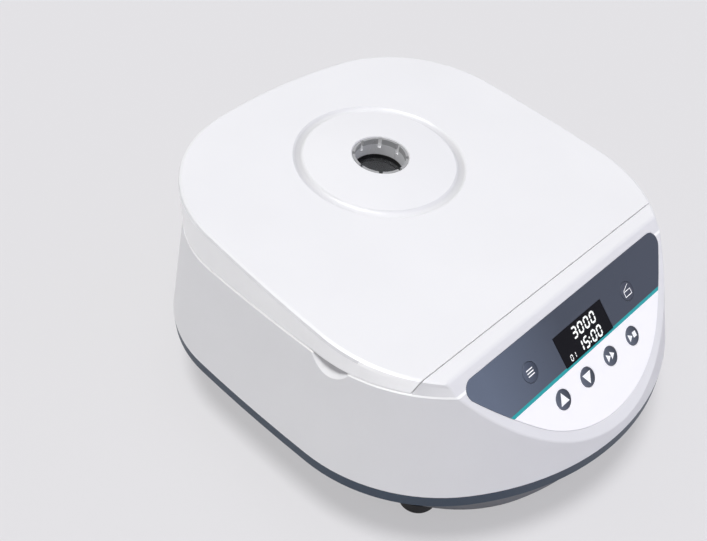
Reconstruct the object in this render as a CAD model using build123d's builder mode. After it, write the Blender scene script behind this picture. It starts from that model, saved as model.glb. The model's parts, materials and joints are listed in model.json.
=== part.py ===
from build123d import *

import os
from math import atan2, cos, degrees, radians, sin, sqrt, tan

# Bench blood centrifuge with a sloping top, a rear-hinged lid and an angled control panel.
# Millimetres. +Z up, front at -Y, origin under the middle of the case on the bench.

# Case outline seen from above
case_half_width = 156.0
case_half_length = 169.65
front_spread = 26.0
rear_radius = 400.0
side_radius = 1500.0
side_middle = 7.0
front_corner = 115.0
rear_corner = 110.0

# Case heights and slopes
foot_height = 10.0
band_bottom = 43.4
band_top = 51.7
axis_y = 45.25
top_height = 150.0
top_slope = 8.65
parting_height = 124.5
parting_slope = 1.9
wall_draft = 16.5
skirt_inset = 0.8
top_round = 2.6
round_share = 0.3
crest_round = 5.0
panel_round = 2.0
rim_round = 0.8
wall = 3.0
panel_angle = 48.7
seam_y = -99.3
strip_width = 9.0
panel_run = 130.0
seam_foot_y = -96.5

# Lid
lid_gap = 0.5
ring_outer = 60.0
ring_inner = 53.1
ring_depth = 1.3
crown_height = 3.4
port_radius = 19.7
port_wall = 1.8
port_clearance = 0.3
port_depth = 16.5
window_thickness = 2.0
port_barb = 0.7
port_collar = 9.0
port_slots = 8
port_slot_width = 2.6
port_slot_depth = 8.0
port_sink = 0.5
port_edge_round = 0.6
crown_share = 0.62
disc_edge = 0.2
disc_sink = 1.0
barb_gap = 0.3
barb_foot = 2.6
port_shelf = 1.6
port_shelf_thickness = 1.0
window_gap = 0.1
liner_thickness = 2.0
liner_lift = 3.0
liner_gap = 0.4
liner_port_gap = 0.4
dish_radius = 75.0
dish_rise = 3.5
dish_taper = 8.0
lid_screw_places = ((-126, 0), (126, 0), (-95, -105), (95, -105), (-86, 74), (86, 74))
lid_screw_radius = 1.5
lid_screw_head = 1.8
lid_screw_reach = 2.6
lid_screw_end = 0.3
lid_column_radius = 4.0
seam_gap = 0.8
seam_run = 30.0
seal_step = 4.5
seal_width = 5.0
seal_chamfer = 0.8
lid_travel_gap = 0.3

# Finger scoops in the side walls
scoop_y = -52.0
scoop_radius = 27.0
scoop_length = 33.2
scoop_drop = 10.0

# Base pan and feet
tub_inset = 8.0
tub_narrowing = 10.0
tub_bottom_inset = 16.0
tub_bottom_narrowing = 14.0
floor_thickness = 2.5
lip_height = 3.0
lip_gap = 0.6
lip_thickness = 2.0
foot_taper = 1.2
foot_edge_round = 1.0
foot_well_radius = 5.0
foot_well_depth = 6.0
foot_boss_radius = 5.5
foot_boss_height = 5.0
foot_head_gap = 0.6
foot_screw_end = 1.0
foot_screw_radius = 2.0
foot_screw_reach = 6.5
screw_head_radius = 3.4
screw_head_height = 2.4
counterbore_depth = 6.0
head_gap = 0.4
screw_gap = 0.3
screw_hole_gap = 0.2
vent_length = 34.0
vent_width = 3.0
vent_pitch = 7.0
vent_count = 5
vent_rib = 8.0
foot_radius = 13.5
foot_places = ((-102, -91), (102, -91), (-100, 100), (100, 100))
foot_names = ("front_left", "front_right", "rear_left", "rear_right")
post_places = ((-98, -70), (98, -70), (-114, 45.25), (114, 45.25), (-78, 130), (78, 130))
post_radius = 4.5
post_foot = 47.0
screw_radius = 1.6
post_pilot = 13.0
pilot_end = 2.0
tower_margin = 1.0

# Chamber
bowl_radius = 92.0
bowl_skin = 1.2
bowl_floor = 60.0
bowl_rim = 112.0
bowl_flange = 10.5
bowl_corner = 12.0
bowl_hole_radius = 17.0
opening_step = 3.5
opening_land = 1.0
collar_foot = 116.5
seal_land = 5.0
seal_bead_gap = 0.2
boot_radius = 14.3
boot_foot = 6.0
boot_waist = (4.4, 1.6)
boot_shoulder = (6.4, 2.8)
boot_fold = (2.4, 2.4)
boot_lip = 0.6
chamber_post_radius = 3.6
chamber_post_count = 4

# Motor
plate_bottom = 19.0
plate_thickness = 3.0
plate_side = 92.0
plate_corner = 8.0
mount_spread = 36.0
mount_radius = 7.0
mount_waist = 1.6
plate_screw_radius = 2.0
plate_screw_head = 2.2
motor_radius = 36.0
motor_top = 55.0
motor_skin = 2.5
motor_bevel = 2.0
neck_radius = 14.0
neck_top = 62.0
neck_lip = 2.0
neck_shaft_gap = 1.0
shaft_radius = 5.0
bearing_radius = 11.0
bearing_width = 7.0
bearing_ring = 1.6
fit_gap = 0.05
shield_depth = 0.6
magnet_radius = 19.0
air_gap = 0.8
stator_slots = 9
stator_base_gap = 1.0
stator_top_gap = 3.0
winding_step = 5.0
winding_radius = 3.2
shaft_base_gap = 0.5
shaft_collar_radius = 8.0
collar_top = 66.0
collar_lift = 0.6
shaft_step = 1.0

# Rotor
tube_radius = 6.9
tube_wall_length = 46.0
tube_tilt = 45.0
tube_count = 6
mouth_radius = 37.0
mouth_height = 109.5
rotor_wall = 4.0
rotor_radius = 82.0
rotor_bottom = 65.0
rotor_floor = 98.0
rotor_hub_radius = 13.0
rotor_web = 6.0
rotor_rim = 2.0
rotor_bevel = 2.0
nut_flutes = 16
nut_radius = 9.0
nut_height = 13.0
nut_head = 3.0
nut_shoulder = 2.0
nut_cap = 1.5
flute_step = 0.6
flute_radius = 1.2
thread_radius = 4.0
thread_chamfer = 1.0

# Control panel, on the sloping front: distances down the slope from its top edge
label_top = 6.5
label_round = 7.0
label_low = 82.0
label_bottom_radius = 92.0
label_side_radius = 329.0
label_thickness = 0.6
label_recess = 0.4
label_gap = 0.3
key_radius = 6.15
key_gap = 0.25
key_proud = 0.35
key_names = ("set", "lid_release", "up", "down", "pulse", "start_stop")
key_places = ((-52.1, -26.4), (50.2, -27.7), (-38.8, -52.9), (-13.6, -52.9), (11.5, -52.9), (36.7, -52.9))
display_size = (50.0, 20.2)
display_place = (-0.5, -30.0)
window_depth = 2.0
window_lip = 2.0
window_round = 0.6
lcd_margin = (3.0, 1.0)
lcd_sink = 1.0
board_depth = 13.0
board_thickness = 1.6
board_size = (136.0, 44.0)
board_middle = -40.0
board_corner = 3.0
board_hole_margin = 5.0
board_hole_radius = 1.6
standoff_radius = 3.0
switch_height = 3.4
switch_side = 6.2
switch_round = 0.6
plunger_radius = 1.7
plunger_height = 0.4
key_flange = 0.9
key_flange_gap = 0.3
key_stem = 4.4
key_stem_radius = 1.5
key_edge_round = 0.3

# Hinge
hinge_step = 0.85
hinge_x = 45.0
knuckle_radius = 4.5
knuckle_length = 9.0
knuckle_gap = 0.3
pin_radius = 2.0
pin_gap = 0.05
hinge_clearance = 0.6
web_reach = 10.0
web_depth = 18.0
web_step = 0.5
web_angle = 20.0
lid_web_height = 12.0
lid_web_skin = 1.0
pin_end = 1.0
pin_chamfer = 0.4

# Latch
latch_y = -74.0
bolt_height = 107.0
bolt_radius = 3.5
bolt_gap = 0.1
hook_thickness = 4.0
hook_width = 12.0
cheek_gap = 10.0
latch_slot = 21.5
latch_slot_shift = 0.25
latch_rear_step = 1.0
cheek_thickness = 4.0
hook_foot = 1.5
hook_eye_gap = 0.6
hook_eye_run = 1.2
hook_plate_width = 22.0
hook_plate_margin = 1.5
hook_plate_corner = 2.0
hook_root = 1.0
hook_cheek = 3.0
hook_tip = 7.0
hook_bevel = 4.0
latch_floor = 93.0
bolt_length = 30.0
bolt_rest_gap = 2.0
bolt_chamfer = 1.0
solenoid_side = 20.0
solenoid_length = 34.0
solenoid_round = 2.0
solenoid_end = 3.0
switch_case = (18.0, 10.0, 6.0)
switch_hole_pitch = 9.5
switch_hole_radius = 1.2

# Rear panel
panel_gap = 0.2
inlet_x = 58.0
inlet_z = 82.0
inlet_flange = (50.0, 24.0)
inlet_corner = 3.0
inlet_mouth = (24.0, 16.4)
inlet_body = (27.0, 20.0)
inlet_depth = 20.0
switch_frame_size = (30.0, 22.0)
switch_body = (27.0, 19.5)
rocker_size = (20.4, 13.4)
inlet_flange_thickness = 2.0
inlet_mouth_depth = 15.0
inlet_mouth_chamfer = 4.5
inlet_pin = (2.0, 4.0)
inlet_pin_places = ((-7.0, -1.0), (0.0, 3.0), (7.0, -1.0))
inlet_pin_recess = 5.5
inlet_pin_tail = 4.0
inlet_screw_pitch = 40.0
inlet_screw_radius = 1.5
inlet_screw_head = (2.8, 1.4)
inlet_screw_slot = (0.8, 4.0)
switch_flange = 1.5
switch_depth = 16.0
switch_corner = 2.0
switch_back = 3.0
rocker_gap = 0.4
rocker_sink = 2.0
rocker_rise = 4.4
rocker_tilt = 20.0
pocket_depth = 4.5
pocket_margin = 2.0

# Drive board in the base
drive_place = (0.0, -82.0)
drive_size = (110.0, 62.0)
drive_standoff = 8.0
drive_corner = 2.0
drive_margin = 4.0
sink_shift = 30.0
sink_size = (36.0, 50.0)
sink_base = 3.0
fin_pitch = 6.8
fin_count = 6
fin_thickness = 1.6
fin_height = 15.0
capacitor_shift = -20.0
capacitor_pitch = 20.0
capacitor_radius = 8.0
capacitor_height = 22.0
capacitor_round = 1.0

# Derived places
hex_sides = 6
front_radius = case_half_width + front_spread
hinge_y = case_half_length - wall_draft + hinge_step
wall_lean = atan2(wall_draft, parting_height - band_top)
lip_inset = wall + lip_gap + lip_height * tan(wall_lean)
opening_radius = bowl_radius + opening_step
seal_radius = opening_radius + seal_step
chamber_post_circle = bowl_radius + bowl_flange - chamber_post_radius - fit_gap
opening_middle = opening_radius + opening_land
deck_drop = wall / cos(radians(parting_slope)) + fit_gap
tub_floor = foot_height + floor_thickness
chamber_axis = Axis((0, axis_y, 0), (0, 0, 1))
axis_plane = Plane(origin=(0, axis_y, 0), x_dir=(1, 0, 0), z_dir=(0, -1, 0))
front_arc_y = -case_half_length + front_radius - axis_y
rear_arc_y = case_half_length - rear_radius - axis_y
side_arc_y = side_middle - axis_y


def level(height, slope=0.0):
    # A plane over the chamber axis at a height, falling towards the front by the slope
    tilt = radians(slope)
    return Plane(origin=(0, axis_y, height), x_dir=(1, 0, 0), z_dir=(0, -sin(tilt), cos(tilt)))


def angle_of(direction):
    return degrees(atan2(direction.Y, direction.X))


def parting_z(y):
    return parting_height + (y - axis_y) * tan(radians(parting_slope))


def top_z(y):
    return top_height + (y - axis_y) * tan(radians(top_slope))


def corner_centre(end, end_radius, corner, side_centre, toward):
    # Centre of the round that runs tangent inside an end arc and the side arc, front -1 or rear +1
    reach = side_centre - end
    near = end_radius - corner
    along = (near**2 - (side_radius - corner) ** 2 + reach.length**2) / (2 * reach.length)
    away = sqrt(near**2 - along**2)
    unit = reach.normalized()
    return end + unit * along + Vector(unit.Y, -unit.X) * (toward * away)


def case_outline(plane, inset, narrowing=0.0):
    # Eight tangent arcs about fixed centres, so that an inset draws a parallel outline
    front = Vector(0, front_arc_y)
    rear = Vector(0, rear_arc_y)
    side = Vector(case_half_width - side_radius - narrowing, side_arc_y)
    front_round = corner_centre(front, front_radius, front_corner, side, -1)
    rear_round = corner_centre(rear, rear_radius, rear_corner, side, 1)
    right = [
        (front_round, front_corner, angle_of(front_round - front), angle_of(front_round - side)),
        (side, side_radius, angle_of(front_round - side), angle_of(rear_round - side)),
        (rear_round, rear_corner, angle_of(rear_round - side), angle_of(rear_round - rear)),
    ]
    with BuildSketch(plane) as outline:
        with BuildLine():
            CenterArc(front, front_radius - inset, 180 - right[0][2], 2 * right[0][2] + 180)
            CenterArc(rear, rear_radius - inset, right[2][3], 180 - 2 * right[2][3])
            for centre, radius, start, end in right:
                CenterArc(centre, radius - inset, start, end - start)
                CenterArc((-centre.X, centre.Y), radius - inset, 180 - start, start - end)
        make_face()
    return outline.sketch


parting_plane = level(parting_height, parting_slope)
top_plane = level(top_height, top_slope)
panel_tilt = radians(panel_angle)
panel_edge = (seam_y - strip_width, top_z(seam_y - strip_width))
panel_plane = Plane(
    origin=(0, *panel_edge), x_dir=(1, 0, 0), z_dir=(0, -sin(panel_tilt), cos(panel_tilt))
)
panel_end = (panel_edge[0] - panel_run * cos(panel_tilt), panel_edge[1] - panel_run * sin(panel_tilt))
seam_top = (seam_y, top_z(seam_y))
seam_foot = (seam_foot_y, parting_z(seam_foot_y))
hinge_z = parting_z(hinge_y)
far = 200.0

# Side profile of the fixed case: base line, sloping panel, strip, seam and parting line
case_profile = [
    (far, 0),
    (far, parting_z(far)),
    seam_foot,
    seam_top,
    panel_edge,
    panel_end,
    (-far, panel_end[1]),
    (-far, 0),
]


def lies_on(edge, plane):
    return all(abs(plane.to_local_coords(edge @ part).Z) < fit_gap for part in (0, 0.5, 1))


def case_form(inset):
    # The case, or its inside an inset away: drafted walls, a leaning skirt, a rounded top edge
    lean = wall_draft + skirt_inset + inset
    first_round = round_share * top_round
    return loft(
        [
            case_outline(level(band_top), inset),
            case_outline(parting_plane, wall_draft + inset),
            case_outline(top_plane.offset(-inset - top_round), lean),
            case_outline(top_plane.offset(-inset - first_round), lean + first_round),
            case_outline(top_plane.offset(-inset), lean + top_round),
        ],
        ruled=True,
    )


# Solid case form, and the same form a wall thickness in
with BuildPart() as outer_form:
    case_form(0)

with BuildPart() as inner_form:
    case_form(wall)

# The fixed case, cut to its side profile, with a soft crest and eased panel and parting edges
with BuildPart() as fixed_form:
    add(outer_form.part)
    with BuildSketch(Plane.YZ):
        with BuildLine():
            Polyline(*case_profile, close=True)
        make_face()
    extrude(amount=far, both=True, mode=Mode.INTERSECT)
    crest = fixed_form.edges().filter_by(lambda edge: lies_on(edge, panel_plane)).sort_by(Axis.Y)[-1]
    fillet(crest, crest_round)
    panel_edges = fixed_form.edges().filter_by(lambda edge: lies_on(edge, panel_plane)).sort_by(Axis.Y)
    fillet(panel_edges[:-1], panel_round)
    rim = fixed_form.edges().filter_by(lambda edge: lies_on(edge, parting_plane))
    fillet(rim.filter_by_position(Axis.Y, seam_foot_y + fit_gap, case_half_length), rim_round)

# Finger scoops: a ball sunk into each side wall just under the parting line
scoop_circle = ((scoop_length / 2) ** 2 + scoop_drop**2) / (2 * scoop_drop)
scoop_out = sqrt(scoop_radius**2 - scoop_circle**2)
scoop_up = scoop_circle - scoop_drop
scoop_z = parting_z(scoop_y) + scoop_up * cos(wall_lean) + scoop_out * sin(wall_lean)
scoop_x = case_half_width - wall_draft - scoop_up * sin(wall_lean) + scoop_out * cos(wall_lean)
scoop_places = [(scoop_x, scoop_y, scoop_z), (-scoop_x, scoop_y, scoop_z)]

# Rear pockets for the inlet and the switch, square to the curved rear wall
pocket_turn = inlet_x / rear_radius
wall_y = case_half_length - rear_radius + sqrt(rear_radius**2 - inlet_x**2)
pocket_y = wall_y - (inlet_z - band_top) / (parting_height - band_top) * wall_draft - pocket_depth
inlet_plane = Plane(
    origin=(-inlet_x, pocket_y, inlet_z), x_dir=(-cos(pocket_turn), -sin(pocket_turn), 0),
    z_dir=(-sin(pocket_turn), cos(pocket_turn), 0),
)
switch_plane = Plane(
    origin=(inlet_x, pocket_y, inlet_z), x_dir=(-cos(pocket_turn), sin(pocket_turn), 0),
    z_dir=(sin(pocket_turn), cos(pocket_turn), 0),
)
pocket_size = (inlet_flange[0] + 2 * pocket_margin, inlet_flange[1] + 2 * pocket_margin)

# Outline of the control label: a bottom arc, flatter side arcs, small rounds and a straight top
label_centre = Vector(0, label_bottom_radius - label_low)
side_shift = (label_side_radius - label_bottom_radius) / sqrt(2)
side_centre = Vector(-side_shift, label_centre.Y + side_shift)
round_y = -label_top - label_round
round_x = side_centre.X + sqrt((label_side_radius - label_round) ** 2 - (side_centre.Y - round_y) ** 2)
round_end = angle_of(Vector(round_x, round_y) - side_centre)
with BuildSketch() as label_outline:
    with BuildLine():
        Line((-round_x, -label_top), (round_x, -label_top))
        CenterArc((round_x, round_y), label_round, 90, round_end - 90)
        CenterArc((-round_x, round_y), label_round, 90, 90 - round_end)
        CenterArc(side_centre, label_side_radius, round_end, -45 - round_end)
        CenterArc((side_shift, side_centre.Y), label_side_radius, 180 - round_end, 45 + round_end)
        CenterArc(label_centre, label_bottom_radius, -135, 90)
    make_face()
label_shape = label_outline.sketch

# Web that ties a fixed hinge knuckle into the rear wall
web_side = knuckle_radius * cos(radians(web_angle))
web_rise = knuckle_radius * sin(radians(web_angle))
knuckle_web = [
    (hinge_y - web_reach, hinge_z - web_depth),
    (hinge_y - web_reach, hinge_z - web_step),
    (hinge_y + web_side, hinge_z - web_rise),
    (hinge_y - web_step, hinge_z - web_depth),
]

# Space inside the fixed case
with BuildPart() as case_cavity:
    add(inner_form.part)
    with BuildSketch(Plane.YZ):
        with BuildLine():
            Polyline(*case_profile, close=True)
        make_face()
        offset(amount=-wall, kind=Kind.INTERSECTION)
    extrude(amount=far, both=True, mode=Mode.INTERSECT)
    with Locations(*scoop_places):
        Sphere(scoop_radius + wall, mode=Mode.SUBTRACT)
    for plane in (inlet_plane, switch_plane):
        with BuildSketch(plane.offset(-wall)):
            Rectangle(pocket_size[0] + 2 * wall, pocket_size[1] + 2 * wall)
        extrude(amount=far, mode=Mode.SUBTRACT)

# Collar and screw posts that hang from the deck
with BuildPart() as deck_columns:
    with BuildSketch(Plane.XY.offset(collar_foot)):
        with Locations((0, axis_y)):
            Circle(opening_radius + wall)
    extrude(amount=far)
    with BuildSketch(Plane.XY.offset(post_foot)):
        with Locations(*post_places):
            Circle(post_radius)
    extrude(amount=far)
    with BuildSketch(Plane.YZ):
        with BuildLine():
            Polyline(*case_profile, close=True)
        make_face()
    extrude(amount=far, both=True, mode=Mode.INTERSECT)

with BuildPart() as upper_housing:
    add(fixed_form.part)
    add(case_cavity.part, mode=Mode.SUBTRACT)
    add(deck_columns.part)
    # Outer hinge knuckles and their webs on the rear wall
    for x in (-hinge_x, hinge_x):
        with BuildSketch(Plane.YZ.offset(x)):
            with Locations((hinge_y, hinge_z)):
                Circle(knuckle_radius)
            with BuildLine():
                Polyline(*knuckle_web, close=True)
            make_face()
        extrude(amount=1.5 * knuckle_length, both=True)
    for x in (-hinge_x, hinge_x):
        with Locations(Pos(x, hinge_y, hinge_z) * Rot(0, 90, 0)):
            Cylinder(knuckle_radius + hinge_clearance, knuckle_length, mode=Mode.SUBTRACT)
            Cylinder(pin_radius + pin_gap, 4 * knuckle_length, mode=Mode.SUBTRACT)
    # Chamber opening, latch slot and screw pilot holes
    with BuildSketch(Plane.XY.offset(collar_foot)):
        with Locations((0, axis_y)):
            Circle(opening_radius)
    extrude(amount=far, mode=Mode.SUBTRACT)
    with BuildSketch(Plane.XY.offset(bolt_height)):
        with Locations((0, latch_y - latch_slot_shift)):
            Rectangle(cheek_gap, latch_slot)
    extrude(amount=far, mode=Mode.SUBTRACT)
    with BuildSketch(Plane.XY.offset(post_foot)):
        with Locations(*post_places):
            Circle(screw_radius + fit_gap)
    extrude(amount=post_pilot, mode=Mode.SUBTRACT)
    with Locations(*scoop_places):
        Sphere(scoop_radius, mode=Mode.SUBTRACT)
    # Rear pockets with their cut-outs
    for plane, cut in ((inlet_plane, inlet_body), (switch_plane, switch_body)):
        with BuildSketch(plane):
            Rectangle(*pocket_size)
        extrude(amount=far, mode=Mode.SUBTRACT)
        with BuildSketch(plane):
            Rectangle(cut[0] + 2 * panel_gap, cut[1] + 2 * panel_gap)
        extrude(amount=-2 * wall, mode=Mode.SUBTRACT)
    # Label recess, key holes and window seat in the sloping panel
    with BuildSketch(panel_plane):
        add(label_shape)
        offset(amount=label_gap, kind=Kind.INTERSECTION)
    extrude(amount=-label_recess, mode=Mode.SUBTRACT)
    with BuildSketch(panel_plane):
        with Locations(*key_places):
            Circle(key_radius + key_gap)
        with Locations(display_place):
            Rectangle(display_size[0] - 2 * window_lip, display_size[1] - 2 * window_lip)
    extrude(amount=-2 * wall, mode=Mode.SUBTRACT)
    with BuildSketch(panel_plane):
        with Locations(display_place):
            Rectangle(display_size[0] + 2 * key_gap, display_size[1] + 2 * key_gap)
    extrude(amount=-window_depth, mode=Mode.SUBTRACT)

with BuildPart() as base_pan:
    add(case_outline(level(band_bottom), 0))
    extrude(amount=band_top - band_bottom)
    loft(
        [
            case_outline(level(foot_height), tub_bottom_inset, tub_bottom_narrowing),
            case_outline(level(band_bottom), tub_inset, tub_narrowing),
        ],
        ruled=True,
    )
    add(case_outline(level(band_top), lip_inset))
    extrude(amount=lip_height)
    add(case_outline(level(band_bottom + wall), lip_inset + lip_thickness))
    extrude(amount=far, mode=Mode.SUBTRACT)
    loft(
        [
            case_outline(level(tub_floor), tub_bottom_inset + floor_thickness, tub_bottom_narrowing),
            case_outline(level(band_bottom + wall), tub_inset + floor_thickness, tub_narrowing),
        ],
        ruled=True,
        mode=Mode.SUBTRACT,
    )
    # Screw towers under the housing's posts, and bosses over the feet
    with BuildSketch(Plane.XY.offset(foot_height)):
        with Locations(*post_places):
            Circle(post_radius + tower_margin)
    extrude(amount=post_foot - foot_height)
    with BuildSketch(Plane.XY.offset(tub_floor)):
        with Locations(*foot_places):
            Circle(foot_boss_radius)
    extrude(amount=foot_boss_height)
    with BuildSketch(Plane.XY.offset(foot_height)):
        with Locations(*post_places):
            Circle(screw_head_radius + head_gap)
    extrude(amount=counterbore_depth, mode=Mode.SUBTRACT)
    with BuildSketch(Plane.XY.offset(foot_height)):
        with Locations(*post_places):
            Circle(screw_radius + screw_gap)
    extrude(amount=far, mode=Mode.SUBTRACT)
    with BuildSketch(Plane.XY.offset(foot_height)):
        with Locations(*foot_places):
            Circle(foot_screw_radius + fit_gap)
    extrude(amount=foot_screw_reach, mode=Mode.SUBTRACT)
    # Cooling slots under the motor
    with BuildSketch(Plane.XY.offset(foot_height)):
        with Locations((0, axis_y)):
            with GridLocations(vent_length + vent_rib, vent_pitch, 2, vent_count):
                SlotOverall(vent_length, vent_width)
    extrude(amount=floor_thickness, mode=Mode.SUBTRACT)

with BuildPart() as base_screws:
    with BuildSketch(Plane.XY.offset(foot_height + counterbore_depth)):
        with Locations(*post_places):
            Circle(screw_head_radius)
    extrude(amount=-screw_head_height)
    with BuildSketch(Plane.XY.offset(foot_height + counterbore_depth)):
        with Locations(*post_places):
            Circle(screw_radius)
    extrude(amount=post_foot + post_pilot - pilot_end - foot_height - counterbore_depth)

rubber_feet = []
for name, place in zip(foot_names, foot_places):
    with BuildPart() as foot:
        with BuildSketch(Plane.XY):
            with Locations(place):
                Circle(foot_radius - foot_taper)
        with BuildSketch(Plane.XY.offset(foot_height)):
            with Locations(place):
                Circle(foot_radius)
        loft()
        fillet(foot.faces().sort_by(Axis.Z)[0].edges(), foot_edge_round)
        with BuildSketch(Plane.XY):
            with Locations(place):
                Circle(foot_well_radius)
        extrude(amount=foot_well_depth, mode=Mode.SUBTRACT)
        with BuildSketch(Plane.XY):
            with Locations(place):
                Circle(foot_screw_radius + fit_gap)
        extrude(amount=foot_height, mode=Mode.SUBTRACT)
    foot.part.label = "foot_" + name
    rubber_feet.append(foot.part)

with BuildPart() as foot_screws:
    with BuildSketch(Plane.XY.offset(foot_well_depth)):
        with Locations(*foot_places):
            Circle(foot_well_radius - foot_head_gap)
    extrude(amount=-screw_head_height)
    with BuildSketch(Plane.XY.offset(foot_well_depth)):
        with Locations(*foot_places):
            Circle(foot_screw_radius)
    extrude(amount=foot_height + foot_screw_reach - foot_well_depth - foot_screw_end)

# Chamber: a drawn steel bowl on posts, sealed to the collar above and to the motor neck below
with BuildPart() as chamber_bowl:
    with BuildSketch(axis_plane):
        with BuildLine():
            FilletPolyline(
                (bowl_hole_radius, bowl_floor + bowl_skin / 2),
                (bowl_radius + bowl_skin / 2, bowl_floor + bowl_skin / 2),
                (bowl_radius + bowl_skin / 2, bowl_rim + bowl_skin / 2),
                (bowl_radius + bowl_flange, bowl_rim + bowl_skin / 2),
                radius=[bowl_corner, 2 * bowl_skin],
            )
        trace(line_width=bowl_skin)
    revolve(axis=chamber_axis)

with BuildPart() as chamber_seal:
    with BuildSketch(axis_plane):
        with Locations((opening_middle, (bowl_rim + bowl_skin + collar_foot) / 2)):
            Rectangle(seal_land, collar_foot - bowl_rim - bowl_skin)
        with Locations((opening_middle - seal_land / 2, (bowl_rim + bowl_skin + collar_foot) / 2)):
            Circle((collar_foot - bowl_rim - bowl_skin) / 2 - seal_bead_gap)
    revolve(axis=chamber_axis)

with BuildPart() as chamber_posts:
    with BuildSketch(Plane.XY.offset(tub_floor)):
        with Locations((0, axis_y)):
            with PolarLocations(chamber_post_circle, chamber_post_count, start_angle=45):
                RegularPolygon(chamber_post_radius, hex_sides)
    extrude(amount=bowl_rim - tub_floor)

with BuildPart() as motor_boot:
    with BuildSketch(axis_plane):
        with BuildLine():
            Polyline(
                (boot_radius, motor_top),
                (boot_radius + boot_foot, motor_top),
                (boot_radius + boot_waist[0], motor_top + boot_waist[1]),
                (boot_radius + boot_shoulder[0], motor_top + boot_shoulder[1]),
                (boot_radius + boot_shoulder[0], bowl_floor),
                (boot_radius + boot_lip, bowl_floor),
                (boot_radius + boot_fold[0], motor_top + boot_fold[1]),
                close=True,
            )
        make_face()
    revolve(axis=chamber_axis)

# Motor on its rubber-mounted plate
with BuildPart() as motor_plate:
    with BuildSketch(Plane.XY.offset(plate_bottom)):
        with Locations((0, axis_y)):
            RectangleRounded(plate_side, plate_side, plate_corner)
            Circle(neck_radius, mode=Mode.SUBTRACT)
            with GridLocations(2 * mount_spread, 2 * mount_spread, 2, 2):
                Circle(plate_screw_radius + screw_hole_gap, mode=Mode.SUBTRACT)
    extrude(amount=plate_thickness)

with BuildPart() as vibration_mounts:
    with BuildSketch(Plane.XZ):
        with BuildLine():
            ThreePointArc(
                (mount_radius, plate_bottom),
                (mount_radius - mount_waist, (plate_bottom + tub_floor) / 2),
                (mount_radius, tub_floor),
            )
            Polyline(
                (mount_radius, tub_floor),
                (0, tub_floor),
                (0, plate_bottom),
                (mount_radius, plate_bottom),
            )
        make_face()
    mount_shape = revolve(axis=Axis.Z, mode=Mode.PRIVATE)
    with Locations((0, axis_y)):
        with GridLocations(2 * mount_spread, 2 * mount_spread, 2, 2):
            add(mount_shape)

with BuildPart() as plate_screws:
    with BuildSketch(Plane.XY.offset(plate_bottom)):
        with Locations((0, axis_y)):
            with GridLocations(2 * mount_spread, 2 * mount_spread, 2, 2):
                Circle(plate_screw_radius)
    extrude(amount=plate_thickness)
    with BuildSketch(Plane.XY.offset(plate_bottom + plate_thickness)):
        with Locations((0, axis_y)):
            with GridLocations(2 * mount_spread, 2 * mount_spread, 2, 2):
                Circle(2 * plate_screw_radius)
                RegularPolygon(plate_screw_radius, hex_sides, mode=Mode.SUBTRACT)
    extrude(amount=plate_screw_head)

motor_bottom = plate_bottom + plate_thickness
lower_bearing = motor_bottom + motor_skin
upper_bearing = neck_top - neck_lip - bearing_width
with BuildPart() as motor_housing:
    with BuildSketch(axis_plane):
        with BuildLine():
            Polyline(
                (bearing_radius + fit_gap, motor_bottom),
                (motor_radius, motor_bottom),
                (motor_radius, motor_top - motor_bevel),
                (motor_radius - motor_bevel, motor_top),
                (neck_radius, motor_top),
                (neck_radius, neck_top),
                (shaft_radius + neck_shaft_gap, neck_top),
                (shaft_radius + neck_shaft_gap, upper_bearing + bearing_width),
                (bearing_radius + fit_gap, upper_bearing + bearing_width),
                (bearing_radius + fit_gap, motor_top - motor_skin),
                (motor_radius - motor_skin, motor_top - motor_skin),
                (motor_radius - motor_skin, motor_bottom + motor_skin),
                (neck_radius, motor_bottom + motor_skin),
                (neck_radius, lower_bearing + bearing_width),
                (bearing_radius + fit_gap, lower_bearing + bearing_width),
                close=True,
            )
        make_face()
    revolve(axis=chamber_axis)

with BuildPart() as motor_end_cap:
    with BuildSketch(Plane.XY.offset(motor_bottom)):
        with Locations((0, axis_y)):
            Circle(bearing_radius - fit_gap)
    extrude(amount=motor_skin)

ball_bearings = []
for name, height in (("lower_bearing", lower_bearing), ("upper_bearing", upper_bearing)):
    with BuildPart() as bearing:
        with BuildSketch(Plane.XY.offset(height)):
            with Locations((0, axis_y)):
                Circle(bearing_radius)
                Circle(shaft_radius + fit_gap, mode=Mode.SUBTRACT)
        extrude(amount=bearing_width)
        for face_height in (height, height + bearing_width - shield_depth):
            with BuildSketch(Plane.XY.offset(face_height)):
                with Locations((0, axis_y)):
                    Circle(bearing_radius - bearing_ring)
                    Circle(shaft_radius + bearing_ring, mode=Mode.SUBTRACT)
            extrude(amount=shield_depth, mode=Mode.SUBTRACT)
    bearing.part.label = name
    ball_bearings.append(bearing.part)

stator_bottom = lower_bearing + bearing_width + stator_base_gap
stator_top = upper_bearing - stator_top_gap
with BuildPart() as motor_stator:
    with BuildSketch(Plane.XY.offset(stator_bottom)):
        with Locations((0, axis_y)):
            Circle(motor_radius - motor_skin - fit_gap)
            Circle(magnet_radius + air_gap, mode=Mode.SUBTRACT)
            with PolarLocations(magnet_radius + air_gap + winding_step, stator_slots):
                Circle(winding_radius, mode=Mode.SUBTRACT)
    extrude(amount=stator_top - stator_bottom)

with BuildPart() as motor_magnet:
    with BuildSketch(Plane.XY.offset(stator_bottom)):
        with Locations((0, axis_y)):
            Circle(magnet_radius)
            Circle(shaft_radius, mode=Mode.SUBTRACT)
    extrude(amount=stator_top - stator_bottom)

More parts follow.
